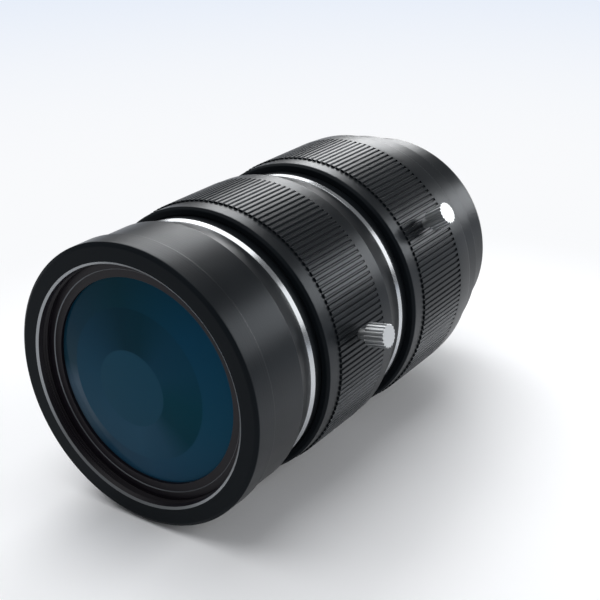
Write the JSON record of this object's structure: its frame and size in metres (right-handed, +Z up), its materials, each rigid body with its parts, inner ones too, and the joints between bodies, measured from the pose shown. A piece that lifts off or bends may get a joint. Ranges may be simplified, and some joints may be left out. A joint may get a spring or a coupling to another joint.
{
  "type": "machine vision lens",
  "caption": "Fixed focal length lens for a machine vision camera: knurled focusing and iris rings with locking thumbscrews, wide front glass, screw mount at the back.",
  "frame": {"origin": "centre of the flange seat of the camera mount, on the optical axis", "axes": "+Y along the optical axis towards the camera, so the front glass looks towards -Y; +Z up; the two locking screws stand out on the +X side"},
  "size_m": [0.0529, 0.088, 0.0478],
  "materials": {
    "black_anodised": "satin black anodised, turned",
    "bright_aluminium": "diamond-cut bright bevel, clear anodised",
    "stainless_steel": "turned and fluted",
    "plain_steel": "ground pin",
    "blackened_steel": "matt black leaf",
    "coated_glass": "polished, blue-green anti-reflection coating",
    "inner_glass": "polished, coated"
  },
  "bodies": {
    "housing": {"main_barrel": "black_anodised", "centre_trim_ring": "bright_aluminium", "focus_keeper_ring": "black_anodised", "focus_guide_key": "plain_steel", "iris_plate": "black_anodised", "iris_keeper_ring": "black_anodised", "rear_lens_cell": "black_anodised", "fourth_lens": "inner_glass", "rear_spacer_ring": "black_anodised", "fifth_lens": "inner_glass", "rear_group_nut": "black_anodised", "rear_barrel": "black_anodised", "camera_mount_ring": "black_anodised"},
    "front_group": {"front_barrel": "black_anodised", "front_trim_ring": "bright_aluminium", "front_retaining_ring": "black_anodised", "front_lens": "coated_glass", "second_lens": "inner_glass", "front_spacer_ring": "black_anodised", "third_lens": "inner_glass", "front_group_nut": "black_anodised", "helicoid_tube": "black_anodised"},
    "focus_control": {"focus_ring": "black_anodised"},
    "focus_lock": {"focus_lock_screw": "stainless_steel"},
    "iris_control": {"iris_ring": "black_anodised", "iris_drive_pin": "plain_steel", "iris_cam_ring": "black_anodised"},
    "iris_lock": {"iris_lock_screw": "stainless_steel"},
    "leaf_1": {"iris_leaf_1": "blackened_steel"},
    "leaf_2": {"iris_leaf_2": "blackened_steel"},
    "leaf_3": {"iris_leaf_3": "blackened_steel"},
    "leaf_4": {"iris_leaf_4": "blackened_steel"},
    "leaf_5": {"iris_leaf_5": "blackened_steel"},
    "leaf_6": {"iris_leaf_6": "blackened_steel"}
  },
  "joints": [
    {"name": "focus_turn", "type": "hinge", "parent": "housing", "child": "focus_control", "pos_m": [0, -0.052, 0], "axis": [0, -1, 0], "range_deg": [0, 180]},
    {"name": "front_group_slide", "type": "slide", "parent": "housing", "child": "front_group", "axis": [0, -1, 0], "range_m": [0, 0.005]},
    {"name": "focus_lock_turn", "type": "hinge", "parent": "focus_control", "child": "focus_lock", "pos_m": [0.02519, -0.0552, 0.00458], "axis": [0.9839, 0, 0.1788], "range_deg": [0, 360]},
    {"name": "iris_turn", "type": "hinge", "parent": "housing", "child": "iris_control", "pos_m": [0, -0.027, 0], "axis": [0, -1, 0], "range_deg": [0, 45]},
    {"name": "iris_lock_turn", "type": "hinge", "parent": "iris_control", "child": "iris_lock", "pos_m": [0.02102, -0.0273, 0.01461], "axis": [0.8211, 0, 0.5707], "range_deg": [0, 360]},
    {"name": "leaf_1_swing", "type": "hinge", "parent": "housing", "child": "leaf_1", "pos_m": [-0.01575, -0.0299, -0.00524], "axis": [0, -1, 0], "range_deg": [0, 28]},
    {"name": "leaf_2_swing", "type": "hinge", "parent": "housing", "child": "leaf_2", "pos_m": [-0.00334, -0.0296, -0.01626], "axis": [0, -1, 0], "range_deg": [0, 28]},
    {"name": "leaf_3_swing", "type": "hinge", "parent": "housing", "child": "leaf_3", "pos_m": [0.01241, -0.0293, -0.01103], "axis": [0, -1, 0], "range_deg": [0, 28]},
    {"name": "leaf_4_swing", "type": "hinge", "parent": "housing", "child": "leaf_4", "pos_m": [0.01575, -0.029, 0.00524], "axis": [0, -1, 0], "range_deg": [0, 28]},
    {"name": "leaf_5_swing", "type": "hinge", "parent": "housing", "child": "leaf_5", "pos_m": [0.00334, -0.0287, 0.01626], "axis": [0, -1, 0], "range_deg": [0, 28]},
    {"name": "leaf_6_swing", "type": "hinge", "parent": "housing", "child": "leaf_6", "pos_m": [-0.01241, -0.0284, 0.01103], "axis": [0, -1, 0], "range_deg": [0, 28]}
  ],
  "couplings": [
    {"joint": "front_group_slide", "follows": "focus_turn", "m_per_rad": 0.0015915},
    {"joint": "leaf_1_swing", "follows": "iris_turn", "ratio": 0.6222},
    {"joint": "leaf_2_swing", "follows": "iris_turn", "ratio": 0.6222},
    {"joint": "leaf_3_swing", "follows": "iris_turn", "ratio": 0.6222},
    {"joint": "leaf_4_swing", "follows": "iris_turn", "ratio": 0.6222},
    {"joint": "leaf_5_swing", "follows": "iris_turn", "ratio": 0.6222},
    {"joint": "leaf_6_swing", "follows": "iris_turn", "ratio": 0.6222}
  ]
}
